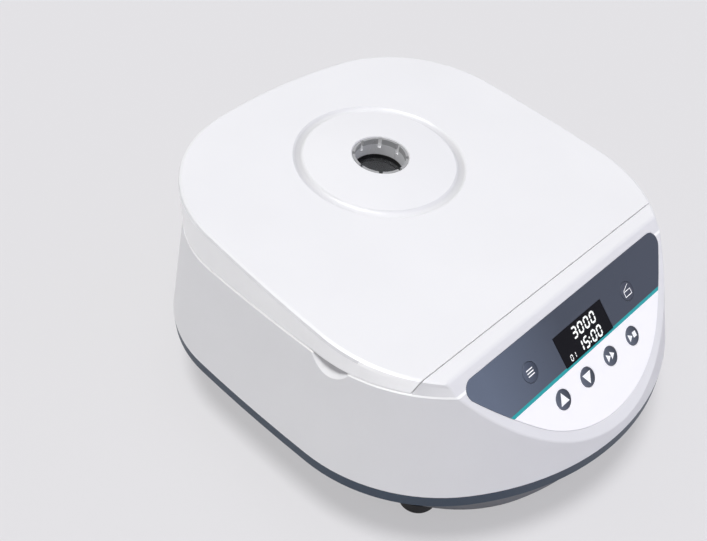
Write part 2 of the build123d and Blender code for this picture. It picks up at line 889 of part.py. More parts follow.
with BuildPart() as motor_shaft:
    with BuildSketch(axis_plane):
        with BuildLine():
            Polyline(
                (0, lower_bearing + shaft_base_gap),
                (shaft_radius, lower_bearing + shaft_base_gap),
                (shaft_radius, neck_top + collar_lift),
                (shaft_collar_radius, neck_top + collar_lift),
                (shaft_collar_radius, collar_top),
                (shaft_radius, collar_top),
                (shaft_radius, rotor_floor - shaft_step),
                (thread_radius, rotor_floor - shaft_step),
                (thread_radius, rotor_floor + nut_height - 2 * thread_chamfer),
                (thread_radius - thread_chamfer, rotor_floor + nut_height - thread_chamfer),
                (0, rotor_floor + nut_height - thread_chamfer),
                close=True,
            )
        make_face()
    revolve(axis=chamber_axis)

# Angle rotor: a cone with a dished top, hollow underneath, and a ring of slanted tube holes
lean = radians(tube_tilt)
flank = mouth_radius + mouth_height + (tube_radius + rotor_wall) * sqrt(2)
under = mouth_radius + mouth_height - (tube_radius + rotor_wall) * sqrt(2)
dish = mouth_height - mouth_radius
rim_radius = (flank - dish) / 2
with BuildPart() as angle_rotor:
    with BuildSketch(axis_plane):
        with BuildLine():
            Polyline(
                (shaft_radius + fit_gap, collar_top),
                (rotor_hub_radius, collar_top),
                (rotor_hub_radius, rotor_floor - rotor_web),
                (under - rotor_floor + rotor_web, rotor_floor - rotor_web),
                (under - rotor_bottom, rotor_bottom),
                (rotor_radius - rotor_bevel, rotor_bottom),
                (rotor_radius, rotor_bottom + rotor_bevel),
                (rotor_radius, flank - rotor_radius),
                (rim_radius + rotor_rim / 2, flank - rim_radius - rotor_rim / 2),
                (rim_radius - rotor_rim / 2, flank - rim_radius - rotor_rim / 2),
                (rotor_floor - dish, rotor_floor),
                (shaft_radius + fit_gap, rotor_floor),
                close=True,
            )
        make_face()
    revolve(axis=chamber_axis)
    with Locations((0, axis_y, 0)):
        with PolarLocations(mouth_radius, tube_count):
            with Locations(Pos(0, 0, mouth_height) * Rot(0, -tube_tilt, 0)):
                Cylinder(tube_radius, 2 * tube_wall_length, mode=Mode.SUBTRACT)
            with Locations(Pos(0, 0, mouth_height) * Rot(0, -tube_tilt, 0) * Pos(0, 0, -tube_wall_length)):
                Sphere(tube_radius, mode=Mode.SUBTRACT)

with BuildPart() as rotor_nut:
    with BuildSketch(Plane.XY.offset(rotor_floor)):
        with Locations((0, axis_y)):
            Circle(nut_radius)
            Circle(thread_radius + fit_gap, mode=Mode.SUBTRACT)
            with PolarLocations(nut_radius + flute_step, nut_flutes):
                Circle(flute_radius, mode=Mode.SUBTRACT)
    extrude(amount=nut_height - nut_head)
    with BuildSketch(Plane.XY.offset(rotor_floor + nut_height - nut_head)):
        with Locations((0, axis_y)):
            Circle(nut_radius - nut_shoulder)
            Circle(thread_radius + fit_gap, mode=Mode.SUBTRACT)
    extrude(amount=nut_cap)

# Lid: shell, liner, seal, viewing port, screws and hook
lid_tilt = radians(top_slope)
port_origin = (0, axis_y, top_height)
port_face = Plane(origin=port_origin, x_dir=(1, 0, 0), z_dir=top_plane.z_dir)
port_plane = Plane(origin=port_origin, x_dir=(1, 0, 0), z_dir=(0, -cos(lid_tilt), -sin(lid_tilt)))
port_axis = Axis(port_origin, (0, -sin(lid_tilt), cos(lid_tilt)))
seam_lean = (seam_y - seam_foot_y) / (seam_top[1] - seam_foot[1])
skin_step = wall * sqrt(1 + seam_lean**2)


def lid_region(step, drop):
    # Side profile of everything behind the seam and above the parting line
    start_y = seam_foot_y + seam_gap + step
    start_z = parting_z(start_y) + lid_gap - drop
    return [
        (start_y + seam_lean * (lid_gap - drop), start_z),
        (start_y + seam_lean * seam_run, start_z - lid_gap + drop + seam_run),
        (far, 2 * far),
        (far, parting_z(far) + lid_gap - drop),
    ]


with BuildPart() as lid_hollow:
    add(inner_form.part)
    with BuildSketch(Plane.YZ):
        with BuildLine():
            Polyline(*lid_region(skin_step, 2 * wall), close=True)
        make_face()
    extrude(amount=far, both=True, mode=Mode.INTERSECT)

with BuildPart() as lid_columns:
    with BuildSketch(parting_plane.offset(liner_lift + liner_thickness)):
        with Locations(*lid_screw_places):
            Circle(lid_column_radius)
    extrude(amount=far)
    add(lid_hollow.part, mode=Mode.INTERSECT)

groove_half = (ring_outer - ring_inner) / 2
groove_radius = (groove_half**2 + ring_depth**2) / (2 * ring_depth)
with BuildPart() as lid_shell:
    add(outer_form.part)
    with BuildSketch(Plane.YZ):
        with BuildLine():
            Polyline(*lid_region(0, 0), close=True)
        make_face()
    extrude(amount=far, both=True, mode=Mode.INTERSECT)
    add(lid_hollow.part, mode=Mode.SUBTRACT)
    add(lid_columns.part)
    # Crowned disc round the port, with a collar under it and a groove round it
    with BuildSketch(port_plane):
        with BuildLine():
            ThreePointArc(
                (port_radius + port_edge_round, crown_height),
                ((port_radius + ring_inner) / 2, crown_height * crown_share),
                (ring_inner, disc_edge),
            )
            Polyline(
                (ring_inner, disc_edge),
                (ring_inner, -disc_sink),
                (port_radius + wall, -disc_sink),
                (port_radius + wall, -port_collar),
                (port_radius, -port_collar),
                (port_radius, crown_height - port_edge_round),
                (port_radius + port_edge_round, crown_height),
            )
        make_face()
    revolve(axis=port_axis)
    with BuildSketch(port_plane):
        Rectangle(port_radius, 4 * wall + port_collar, align=(Align.MIN, Align.CENTER))
    revolve(axis=port_axis, mode=Mode.SUBTRACT)
    with BuildSketch(port_plane):
        with Locations(((ring_outer + ring_inner) / 2, groove_radius - ring_depth)):
            Circle(groove_radius)
    revolve(axis=port_axis, mode=Mode.SUBTRACT)
    # Middle hinge knuckles
    for x in (-hinge_x, hinge_x):
        with BuildSketch(Plane.YZ.offset(x)):
            with Locations((hinge_y, hinge_z)):
                Circle(knuckle_radius)
            with BuildLine():
                Polyline(
                    (hinge_y, hinge_z),
                    (hinge_y - hinge_step - wall + fit_gap, hinge_z + lid_gap),
                    (hinge_y - hinge_step - wall, hinge_z + lid_web_height),
                    (hinge_y - hinge_step - lid_web_skin, hinge_z + lid_web_height),
                    (hinge_y + web_side, hinge_z + web_rise),
                    close=True,
                )
            make_face()
        extrude(amount=knuckle_length / 2 - knuckle_gap, both=True)
        for side in (-knuckle_length, knuckle_length):
            with Locations(Pos(x + side, hinge_y, hinge_z) * Rot(0, 90, 0)):
                Cylinder(
                    knuckle_radius + hinge_clearance,
                    knuckle_length + 2 * knuckle_gap,
                    mode=Mode.SUBTRACT,
                )
        with Locations(Pos(x, hinge_y, hinge_z) * Rot(0, 90, 0)):
            Cylinder(pin_radius + pin_gap, 4 * knuckle_length, mode=Mode.SUBTRACT)
    with BuildSketch(parting_plane.offset(liner_lift)):
        with Locations(*lid_screw_places):
            Circle(lid_screw_radius + fit_gap)
    extrude(amount=liner_thickness + lid_screw_reach + lid_screw_end, mode=Mode.SUBTRACT)

hinge_pins = []
for name, x in (("hinge_pin_left", -hinge_x), ("hinge_pin_right", hinge_x)):
    with BuildPart() as pin:
        with Locations(Pos(x, hinge_y, hinge_z) * Rot(0, 90, 0)):
            Cylinder(pin_radius, 3 * knuckle_length + 2 * pin_end)
        chamfer(pin.edges(), pin_chamfer)
    pin.part.label = name
    hinge_pins.append(pin.part)

with BuildPart() as liner_form:
    case_form(wall + liner_gap)

with BuildPart() as lid_liner:
    with BuildSketch(parting_plane.offset(liner_lift)):
        Rectangle(2 * far, 2 * far)
    extrude(amount=liner_thickness)
    add(liner_form.part, mode=Mode.INTERSECT)
    with BuildSketch(Plane.YZ):
        with BuildLine():
            Polyline(*lid_region(skin_step + liner_gap, 2 * wall), close=True)
        make_face()
    extrude(amount=far, both=True, mode=Mode.INTERSECT)
    with BuildSketch(parting_plane.offset(liner_lift)):
        Circle(dish_radius + liner_thickness)
    extrude(amount=dish_rise + liner_thickness, taper=dish_taper)
    with BuildSketch(parting_plane.offset(liner_lift)):
        Circle(dish_radius)
    extrude(amount=dish_rise, taper=dish_taper, mode=Mode.SUBTRACT)
    with BuildSketch(port_plane):
        Rectangle(port_radius + port_barb + liner_port_gap, 3 * port_depth, align=(Align.MIN, Align.CENTER))
    revolve(axis=port_axis, mode=Mode.SUBTRACT)
    with BuildSketch(parting_plane.offset(liner_lift)):
        with Locations(*lid_screw_places):
            Circle(lid_screw_radius + screw_hole_gap)
    extrude(amount=liner_thickness, mode=Mode.SUBTRACT)

with BuildPart() as lid_screws:
    with BuildSketch(parting_plane.offset(liner_lift)):
        with Locations(*lid_screw_places):
            Circle(2 * lid_screw_radius)
    extrude(amount=-lid_screw_head)
    with BuildSketch(parting_plane.offset(liner_lift)):
        with Locations(*lid_screw_places):
            Circle(lid_screw_radius)
    extrude(amount=liner_thickness + lid_screw_reach)

with BuildPart() as lid_seal:
    with BuildSketch(parting_plane.offset(lid_travel_gap)):
        Circle(seal_radius + seal_width / 2)
        Circle(seal_radius - seal_width / 2, mode=Mode.SUBTRACT)
    extrude(amount=liner_lift - lid_travel_gap)
    chamfer(lid_seal.faces().sort_by(Axis(port_origin, parting_plane.z_dir))[0].edges(), seal_chamfer)

port_bore = port_radius - port_clearance - port_wall
with BuildPart() as viewing_port:
    with BuildSketch(port_plane):
        with BuildLine():
            Polyline(
                (port_bore, crown_height - port_sink),
                (port_radius - port_clearance, crown_height - port_sink),
                (port_radius - port_clearance, -port_collar - barb_gap),
                (port_radius + port_barb, -port_collar - 2 * barb_gap),
                (port_radius - port_clearance, -port_collar - barb_foot),
                (port_radius - port_clearance, -port_depth),
                (port_bore - port_shelf, -port_depth),
                (port_bore - port_shelf, port_shelf_thickness - port_depth),
                (port_bore, port_shelf_thickness - port_depth),
                close=True,
            )
        make_face()
    revolve(axis=port_axis)
    with BuildSketch(port_face.offset(crown_height)):
        with PolarLocations(port_radius, port_slots):
            Rectangle(3 * port_wall, port_slot_width)
    extrude(amount=-port_slot_depth, mode=Mode.SUBTRACT)

with BuildPart() as port_window:
    with BuildSketch(port_face.offset(port_shelf_thickness - port_depth)):
        Circle(port_bore - window_gap)
    extrude(amount=window_thickness)

hook_eye = 2 * (bolt_radius + hook_eye_gap)
with BuildPart() as lid_hook:
    with BuildSketch(parting_plane.offset(liner_lift)):
        with Locations((0, latch_y - axis_y)):
            RectangleRounded(hook_plate_width, hook_width + 2 * hook_plate_margin, hook_plate_corner)
    extrude(amount=-hook_foot)
    with BuildSketch(Plane.YZ):
        with BuildLine():
            Polyline(
                (latch_y - hook_width / 2, parting_z(latch_y) + liner_lift - hook_root),
                (latch_y - hook_width / 2, bolt_height - hook_cheek),
                (latch_y - hook_width / 2 + hook_bevel, bolt_height - hook_tip),
                (latch_y + hook_width / 2 - hook_bevel, bolt_height - hook_tip),
                (latch_y + hook_width / 2, bolt_height - hook_cheek),
                (latch_y + hook_width / 2, parting_z(latch_y) + liner_lift - hook_root),
                close=True,
            )
        make_face()
        with Locations((latch_y, bolt_height)):
            SlotCenterToCenter(hook_eye_run, hook_eye, rotation=90, mode=Mode.SUBTRACT)
    extrude(amount=hook_thickness / 2, both=True)

# Latch under the deck: channel, solenoid, sliding bolt and lid switch
latch_front = latch_y - latch_slot / 2
latch_rear = latch_y + latch_slot / 2 - latch_rear_step
with BuildPart() as latch_housing:
    with BuildSketch(Plane.YZ):
        with BuildLine():
            Polyline(
                (latch_front, latch_floor),
                (latch_rear, latch_floor),
                (latch_rear, parting_z(latch_rear) - deck_drop),
                (latch_front, parting_z(latch_front) - deck_drop),
                close=True,
            )
        make_face()
    extrude(amount=cheek_gap / 2 + cheek_thickness, both=True)
    with BuildSketch(Plane.XY.offset(latch_floor + cheek_thickness)):
        with Locations((0, latch_y)):
            Rectangle(cheek_gap, 2 * latch_slot)
    extrude(amount=far, mode=Mode.SUBTRACT)
    with Locations(Pos(0, latch_y, bolt_height) * Rot(0, 90, 0)):
        Cylinder(bolt_radius + bolt_gap, 4 * cheek_gap, mode=Mode.SUBTRACT)

bolt_tip = -hook_thickness / 2 - bolt_rest_gap
solenoid_face = -cheek_gap / 2 - cheek_thickness - fit_gap
with BuildPart() as latch_solenoid:
    with BuildSketch(Plane.YZ.offset(solenoid_face)):
        with Locations((latch_y, bolt_height)):
            Rectangle(solenoid_side, solenoid_side)
    extrude(amount=-solenoid_length)
    fillet(latch_solenoid.edges().filter_by(Axis.X), solenoid_round)
    with BuildSketch(Plane.YZ.offset(solenoid_face)):
        with Locations((latch_y, bolt_height)):
            Circle(bolt_radius + bolt_gap)
    extrude(amount=solenoid_end - solenoid_length, mode=Mode.SUBTRACT)

with BuildPart() as latch_bolt:
    with BuildSketch(Plane.YZ.offset(bolt_tip)):
        with Locations((latch_y, bolt_height)):
            Circle(bolt_radius)
    extrude(amount=-bolt_length)
    chamfer(latch_bolt.faces().sort_by(Axis.X)[-1].edges(), bolt_chamfer)

with BuildPart() as lid_switch:
    with BuildSketch(Plane.YZ.offset(cheek_gap / 2 + cheek_thickness + fit_gap)):
        with Locations((latch_y, bolt_height)):
            Rectangle(switch_case[0], switch_case[1])
            with GridLocations(switch_hole_pitch, 0, 2, 1):
                Circle(switch_hole_radius, mode=Mode.SUBTRACT)
    extrude(amount=switch_case[2])

# Control panel: label film, display, keys and their board
with BuildPart() as control_label:
    with BuildSketch(panel_plane.offset(-label_recess)):
        add(label_shape)
        with Locations(*key_places):
            Circle(key_radius + key_gap, mode=Mode.SUBTRACT)
        with Locations(display_place):
            Rectangle(display_size[0] + 2 * key_gap, display_size[1] + 2 * key_gap, mode=Mode.SUBTRACT)
    extrude(amount=label_thickness)

with BuildPart() as display_window:
    with BuildSketch(panel_plane.offset(-window_depth)):
        with Locations(display_place):
            RectangleRounded(display_size[0], display_size[1], window_round)
    extrude(amount=window_depth + label_thickness - label_recess)

board_plane = panel_plane.offset(-board_depth)
board_holes = (board_size[0] - 2 * board_hole_margin, board_size[1] - 2 * board_hole_margin)
with BuildPart() as lcd_module:
    with BuildSketch(panel_plane.offset(-wall)):
        with Locations(display_place):
            Rectangle(display_size[0] + 2 * lcd_margin[0], display_size[1] + 2 * lcd_margin[1])
    extrude(amount=wall - board_depth)
    with BuildSketch(panel_plane.offset(-wall)):
        with Locations(display_place):
            Rectangle(display_size[0] - 2 * window_lip, display_size[1] - 2 * window_lip)
    extrude(amount=-lcd_sink, mode=Mode.SUBTRACT)

with BuildPart() as control_board:
    with BuildSketch(board_plane):
        with Locations((0, board_middle)):
            RectangleRounded(board_size[0], board_size[1], board_corner)
            with GridLocations(*board_holes, 2, 2):
                Circle(board_hole_radius, mode=Mode.SUBTRACT)
    extrude(amount=-board_thickness)

with BuildPart() as board_posts:
    with BuildSketch(board_plane):
        with Locations((0, board_middle)):
            with GridLocations(*board_holes, 2, 2):
                RegularPolygon(standoff_radius, hex_sides)
    extrude(amount=board_depth - wall)

with BuildPart() as key_switches:
    with BuildSketch(board_plane):
        with Locations(*key_places):
            RectangleRounded(switch_side, switch_side, switch_round)
    extrude(amount=switch_height)
    with BuildSketch(board_plane.offset(switch_height)):
        with Locations(*key_places):
            Circle(plunger_radius)
    extrude(amount=plunger_height)

key_caps = []
for name, place in zip(key_names, key_places):
    with BuildPart() as key:
        with BuildSketch(panel_plane.offset(-wall - key_flange_gap)):
            with Locations(place):
                Circle(key_radius)
        extrude(amount=wall + key_flange_gap + key_proud)
        fillet(key.faces().sort_by(Axis(panel_plane.origin, panel_plane.z_dir))[-1].edges(), key_edge_round)
        with BuildSketch(panel_plane.offset(-wall - key_flange_gap)):
            with Locations(place):
                Circle(key_radius + key_flange)
        extrude(amount=-key_flange)
        with BuildSketch(panel_plane.offset(-wall - key_flange_gap - key_flange)):
            with Locations(place):
                Circle(key_stem_radius)
        extrude(amount=-key_stem)
    key.part.label = "key_" + name
    key_caps.append(key.part)

# Rear: power inlet with its pins and screws, rocker switch in its frame
with BuildPart() as power_inlet:
    with BuildSketch(inlet_plane):
        RectangleRounded(inlet_flange[0], inlet_flange[1], inlet_corner)
        with GridLocations(inlet_screw_pitch, 0, 2, 1):
            Circle(inlet_screw_radius + screw_hole_gap, mode=Mode.SUBTRACT)
    extrude(amount=inlet_flange_thickness)
    with BuildSketch(inlet_plane):
        Rectangle(*inlet_body)
    extrude(amount=-inlet_depth)
    with BuildSketch(inlet_plane.offset(inlet_flange_thickness)) as mouth:
        Rectangle(*inlet_mouth)
        chamfer(mouth.vertices().group_by(Axis.Y)[-1], inlet_mouth_chamfer)
    extrude(amount=-inlet_mouth_depth, mode=Mode.SUBTRACT)
    with BuildSketch(inlet_plane):
        with Locations(*inlet_pin_places):
            Rectangle(inlet_pin[0] + 2 * fit_gap, inlet_pin[1] + 2 * fit_gap)
    extrude(amount=-2 * inlet_depth, mode=Mode.SUBTRACT)

with BuildPart() as inlet_pins:
    with BuildSketch(inlet_plane.offset(inlet_flange_thickness - inlet_pin_recess)):
        with Locations(*inlet_pin_places):
            Rectangle(*inlet_pin)
    extrude(amount=inlet_pin_recess - inlet_flange_thickness - inlet_depth - inlet_pin_tail)

with BuildPart() as inlet_screws:
    with BuildSketch(inlet_plane.offset(inlet_flange_thickness)):
        with GridLocations(inlet_screw_pitch, 0, 2, 1):
            Circle(inlet_screw_head[0])
            Rectangle(*inlet_screw_slot, mode=Mode.SUBTRACT)
    extrude(amount=inlet_screw_head[1])
    with BuildSketch(inlet_plane.offset(inlet_flange_thickness)):
        with GridLocations(inlet_screw_pitch, 0, 2, 1):
            Circle(inlet_screw_radius)
    extrude(amount=-inlet_flange_thickness)

rocker_plane = switch_plane.offset(switch_flange - rocker_sink)
with BuildPart() as switch_frame:
    with BuildSketch(switch_plane):
        RectangleRounded(switch_frame_size[0], switch_frame_size[1], switch_corner)
    extrude(amount=switch_flange)
    with BuildSketch(switch_plane):
        Rectangle(*switch_body)
    extrude(amount=-switch_depth)
    with BuildSketch(switch_plane.offset(switch_flange)):
        Rectangle(rocker_size[0] + 2 * rocker_gap, rocker_size[1] + 2 * rocker_gap)
    extrude(amount=switch_back - switch_depth, mode=Mode.SUBTRACT)

rocker_reach = rocker_size[0] / 2
rocker_axis_plane = Plane(
    origin=rocker_plane.origin, x_dir=rocker_plane.x_dir, z_dir=rocker_plane.y_dir
).rotated((0, 0, -rocker_tilt / 2))
with BuildPart() as power_rocker:
    with BuildSketch(rocker_axis_plane):
        Circle(rocker_reach)
        with BuildLine():
            Polyline(
                (-rocker_reach, -rocker_rise),
                (0, -rocker_rise / 2),
                (rocker_reach, -rocker_rise),
                (rocker_reach, rocker_rise),
                (-rocker_reach, rocker_rise),
                close=True,
            )
        make_face(mode=Mode.INTERSECT)
    extrude(amount=rocker_size[1] / 2, both=True)

# Motor drive board in the base pan
with BuildPart() as drive_board:
    with BuildSketch(Plane.XY.offset(tub_floor + drive_standoff)):
        with Locations(drive_place):
            RectangleRounded(drive_size[0], drive_size[1], drive_corner)
    extrude(amount=board_thickness)

with BuildPart() as drive_standoffs:
    with BuildSketch(Plane.XY.offset(tub_floor)):
        with Locations(drive_place):
            with GridLocations(drive_size[0] - 2 * drive_margin, drive_size[1] - 2 * drive_margin, 2, 2):
                RegularPolygon(standoff_radius, hex_sides)
    extrude(amount=drive_standoff)

drive_top = tub_floor + drive_standoff + board_thickness
with BuildPart() as heat_sink:
    with BuildSketch(Plane.XY.offset(drive_top)):
        with Locations((drive_place[0] + sink_shift, drive_place[1])):
            Rectangle(*sink_size)
    extrude(amount=sink_base)
    with BuildSketch(Plane.XY.offset(drive_top + sink_base)):
        with Locations((drive_place[0] + sink_shift, drive_place[1])):
            with GridLocations(fin_pitch, 0, fin_count, 1):
                Rectangle(fin_thickness, sink_size[1])
    extrude(amount=fin_height)

with BuildPart() as capacitors:
    with BuildSketch(Plane.XY.offset(drive_top)):
        with Locations((drive_place[0] + capacitor_shift, drive_place[1])):
            with GridLocations(capacitor_pitch, capacitor_pitch, 2, 2):
                Circle(capacitor_radius)
    extrude(amount=capacitor_height)
    fillet(capacitors.faces().group_by(Axis.Z)[-1].edges(), capacitor_round)

labelled = {
    "upper_housing": upper_housing,
    "base_pan": base_pan,
    "base_screws": base_screws,
    "foot_screws": foot_screws,
    "chamber_bowl": chamber_bowl,
    "chamber_seal": chamber_seal,
    "chamber_posts": chamber_posts,
    "motor_boot": motor_boot,
    "motor_plate": motor_plate,
    "vibration_mounts": vibration_mounts,
    "plate_screws": plate_screws,
    "motor_housing": motor_housing,
    "motor_end_cap": motor_end_cap,
    "motor_stator": motor_stator,
    "motor_magnet": motor_magnet,
    "motor_shaft": motor_shaft,
    "angle_rotor": angle_rotor,
    "rotor_nut": rotor_nut,
    "lid_shell": lid_shell,
    "lid_liner": lid_liner,
    "lid_screws": lid_screws,
    "lid_seal": lid_seal,
    "viewing_port": viewing_port,
    "port_window": port_window,
    "lid_hook": lid_hook,
    "latch_housing": latch_housing,
    "latch_solenoid": latch_solenoid,
    "latch_bolt": latch_bolt,
    "lid_switch": lid_switch,
    "control_label": control_label,
    "display_window": display_window,
    "lcd_module": lcd_module,
    "control_board": control_board,
    "board_posts": board_posts,
    "key_switches": key_switches,
    "power_inlet": power_inlet,
    "inlet_pins": inlet_pins,
    "inlet_screws": inlet_screws,
    "switch_frame": switch_frame,
    "power_rocker": power_rocker,
    "drive_board": drive_board,
    "drive_standoffs": drive_standoffs,
    "heat_sink": heat_sink,
    "capacitors": capacitors,
}
for label, piece in labelled.items():
    piece.part.label = label

os.makedirs("parts", exist_ok=True)
single_pieces = [piece.part for piece in labelled.values()]
for solid in single_pieces + rubber_feet + ball_bearings + hinge_pins + key_caps:
    export_step(solid, "parts/" + solid.label + ".step")
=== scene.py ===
import json
from math import cos, radians, sin, tan

import bmesh
import bpy
from mathutils import Matrix, Vector


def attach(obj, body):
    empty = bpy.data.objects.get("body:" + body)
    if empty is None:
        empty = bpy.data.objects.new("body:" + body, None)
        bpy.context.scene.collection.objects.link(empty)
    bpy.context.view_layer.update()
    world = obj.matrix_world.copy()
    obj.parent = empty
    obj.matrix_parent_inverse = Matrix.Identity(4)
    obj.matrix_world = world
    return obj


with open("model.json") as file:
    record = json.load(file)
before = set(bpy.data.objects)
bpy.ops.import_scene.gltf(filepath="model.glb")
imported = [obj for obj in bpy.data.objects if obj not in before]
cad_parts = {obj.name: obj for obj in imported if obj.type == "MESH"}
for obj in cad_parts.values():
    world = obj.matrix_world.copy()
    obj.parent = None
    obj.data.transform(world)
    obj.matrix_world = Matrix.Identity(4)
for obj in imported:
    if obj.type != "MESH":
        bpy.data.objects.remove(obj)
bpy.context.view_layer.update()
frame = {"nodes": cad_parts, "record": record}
nodes = frame["nodes"]
mm = 0.001
print("frame loaded:", len(nodes), "nodes")


# Shader sums and nodes

class Wire:
    def __init__(self, finish, socket):
        self.finish = finish
        self.socket = socket

    def work(self, operation, first, second=0.0):
        return self.finish.node("ShaderNodeMath", {"operation": operation}, {0: first, 1: second})

    def __add__(self, other):
        return self.work("ADD", self, other)

    def __sub__(self, other):
        return self.work("SUBTRACT", self, other)

    def __rsub__(self, other):
        return self.work("SUBTRACT", other, self)

    def __mul__(self, other):
        return self.work("MULTIPLY", self, other)

    def __truediv__(self, other):
        return self.work("DIVIDE", self, other)

    def __gt__(self, other):
        return self.work("GREATER_THAN", self, other)

    def __abs__(self):
        return self.work("ABSOLUTE", self)

    __radd__ = __add__


class Finish:
    def __init__(self, name, **sockets):
        self.material = bpy.data.materials.new(name)
        self.material.use_nodes = True
        self.tree = self.material.node_tree
        self.shader = self.tree.nodes["Principled BSDF"]
        self.place = self.node("ShaderNodeTexCoord", {}, {}, "Object")
        for socket, value in sockets.items():
            self.feed(self.shader.inputs[socket.replace("_", " ")], value)

    def node(self, kind, settings, sockets, output=0):
        made = self.tree.nodes.new(kind)
        for key, value in settings.items():
            setattr(made, key, value)
        for key, value in sockets.items():
            self.feed(made.inputs[key], value)
        return Wire(self, made.outputs[output])

    def feed(self, socket, value):
        if isinstance(value, Wire):
            self.tree.links.new(value.socket, socket)
        else:
            socket.default_value = value

    def set(self, socket, value):
        self.feed(self.shader.inputs[socket], value)

    def fed(self, socket):                        # what already feeds a socket of the shader
        return Wire(self, self.shader.inputs[socket].links[0].from_socket)

    def noise(self, scale, detail, roughness=0.5, squeeze=(1, 1, 1)):
        where = self.node("ShaderNodeMapping", {}, {"Vector": self.place, "Scale": squeeze})
        return self.node("ShaderNodeTexNoise", {}, {"Vector": where, "Scale": scale, "Detail": detail,
                                                    "Roughness": roughness})

    def blend(self, factor, first, second):
        return self.node("ShaderNodeMix", {"data_type": "RGBA"}, {0: factor, 6: first, 7: second}, 2)

    def ramp(self, value, start, end, first=0.0, last=1.0):
        return self.node("ShaderNodeMapRange", {}, {"Value": value, "From Min": start, "From Max": end,
                                                    "To Min": first, "To Max": last})

    def vector(self, operation, sockets, output=0):
        return self.node("ShaderNodeVectorMath", {"operation": operation}, sockets, output)

    def away(self, origin):
        return self.vector("SUBTRACT", {0: self.place, 1: origin})

    def along(self, direction, origin=(0, 0, 0)):
        return self.vector("DOT_PRODUCT", {0: self.away(origin), 1: direction}, "Value")

    def bump(self, height, depth, strength=1.0, under=None):
        sockets = {"Height": height, "Distance": depth, "Strength": strength}
        if under:
            sockets["Normal"] = under
        self.set("Normal", self.node("ShaderNodeBump", {}, sockets))


def paint(red, green, blue):                      # a colour as a picture shows it, 0 to 255
    return tuple((v / 255 / 12.92 if v < 10.3 else ((v / 255 + 0.055) / 1.055) ** 2.4)
                 for v in (red, green, blue)) + (1,)


def shade(colour, factor):
    return tuple(v * factor for v in colour[:3]) + (1,)


def grey(level):
    return (level, level, level, 1)


def upFrom(slope):                                # square to a plane that rises towards the back
    return (0, -sin(slope), cos(slope))


# Finishes
black = grey(0)
white = paint(237, 237, 239)
paintedHighlightWhite = paint(254, 254, 255)
case = {"axisY": 45.25 * mm, "top": 150 * mm, "slope": radians(8.65)}
topCentre = (0, case["axisY"], case["top"])

plastic = {"grainScale": 900, "grainDepth": 0.00002, "grainShine": 0.12, "cloudScale": 14, "cloudShine": 0.06,
           "spread": 0.03, "strength": 0.5}


def moulded(name, colour, roughness, grain=1.0):
    made = Finish(name)
    cloud = made.noise(plastic["cloudScale"], 3)
    grains = made.noise(plastic["grainScale"], 2)
    low, high = shade(colour, 1 - plastic["spread"]), shade(colour, 1 + plastic["spread"])
    made.set("Base Color", made.blend(cloud, low, high))
    made.set("Roughness", roughness + (grains - 0.5) * plastic["grainShine"] + (cloud - 0.5) * plastic["cloudShine"])
    made.bump(grains, plastic["grainDepth"] * grain, plastic["strength"])
    return made


rubberLook = {"cloudScale": 60, "grainScale": 1600, "grainDepth": 0.00006, "dark": 0.75, "pale": 1.3,
              "roughness": 0.72, "grainShine": 0.3, "strength": 0.6}


def rubber(name, colour):
    made = Finish(name)
    cloud = made.noise(rubberLook["cloudScale"], 3)
    grains = made.noise(rubberLook["grainScale"], 3)
    made.set("Base Color", made.blend(cloud, shade(colour, rubberLook["dark"]), shade(colour, rubberLook["pale"])))
    made.set("Roughness", rubberLook["roughness"] + (grains - 0.5) * rubberLook["grainShine"])
    made.bump(grains, rubberLook["grainDepth"], rubberLook["strength"])
    return made


brushLook = {"lineScale": 700, "lineRoughness": 0.6, "lineDepth": 0.00001, "lineShine": 0.18, "cloudScale": 30,
             "cloudShine": 0.08, "dark": 0.82, "pale": 1.1, "strength": 0.4}


def brushed(name, colour, roughness, squeeze):    # metal with fine lines, squeezed along the lines
    made = Finish(name, Metallic=1.0)
    lines = made.noise(brushLook["lineScale"], 3, brushLook["lineRoughness"], squeeze)
    cloud = made.noise(brushLook["cloudScale"], 3)
    made.set("Base Color", made.blend(lines, shade(colour, brushLook["dark"]), shade(colour, brushLook["pale"])))
    made.set("Roughness", roughness + (lines - 0.5) * brushLook["lineShine"] + (cloud - 0.5) * brushLook["cloudShine"])
    made.bump(lines, brushLook["lineDepth"], brushLook["strength"])
    return made


latheLook = {"centre": (0, case["axisY"], 0), "axis": (0, 0, 1), "lineScale": 2600, "lineDepth": 0.000012,
             "lineShine": 0.2, "cloudScale": 26, "cloudShine": 0.1, "dark": 0.86, "pale": 1.08, "strength": 0.5}


def turned(name, colour, roughness):              # lathe marks round the chamber's axis
    made = Finish(name, Metallic=1.0)
    height = made.along(latheLook["axis"], latheLook["centre"])
    cross = made.vector("CROSS_PRODUCT", {0: made.away(latheLook["centre"]), 1: latheLook["axis"]})
    radius = made.vector("LENGTH", {0: cross}, "Value")
    scale = latheLook["lineScale"]
    where = made.node("ShaderNodeCombineXYZ", {}, {0: radius * scale, 1: height * scale})
    rings = made.node("ShaderNodeTexNoise", {}, {"Vector": where, "Scale": 1.0, "Detail": 3.0})
    cloud = made.noise(latheLook["cloudScale"], 3)
    made.set("Base Color", made.blend(rings, shade(colour, latheLook["dark"]), shade(colour, latheLook["pale"])))
    made.set("Roughness", roughness + (rings - 0.5) * latheLook["lineShine"] + (cloud - 0.5) * latheLook["cloudShine"])
    made.bump(rings, latheLook["lineDepth"], latheLook["strength"])
    return made


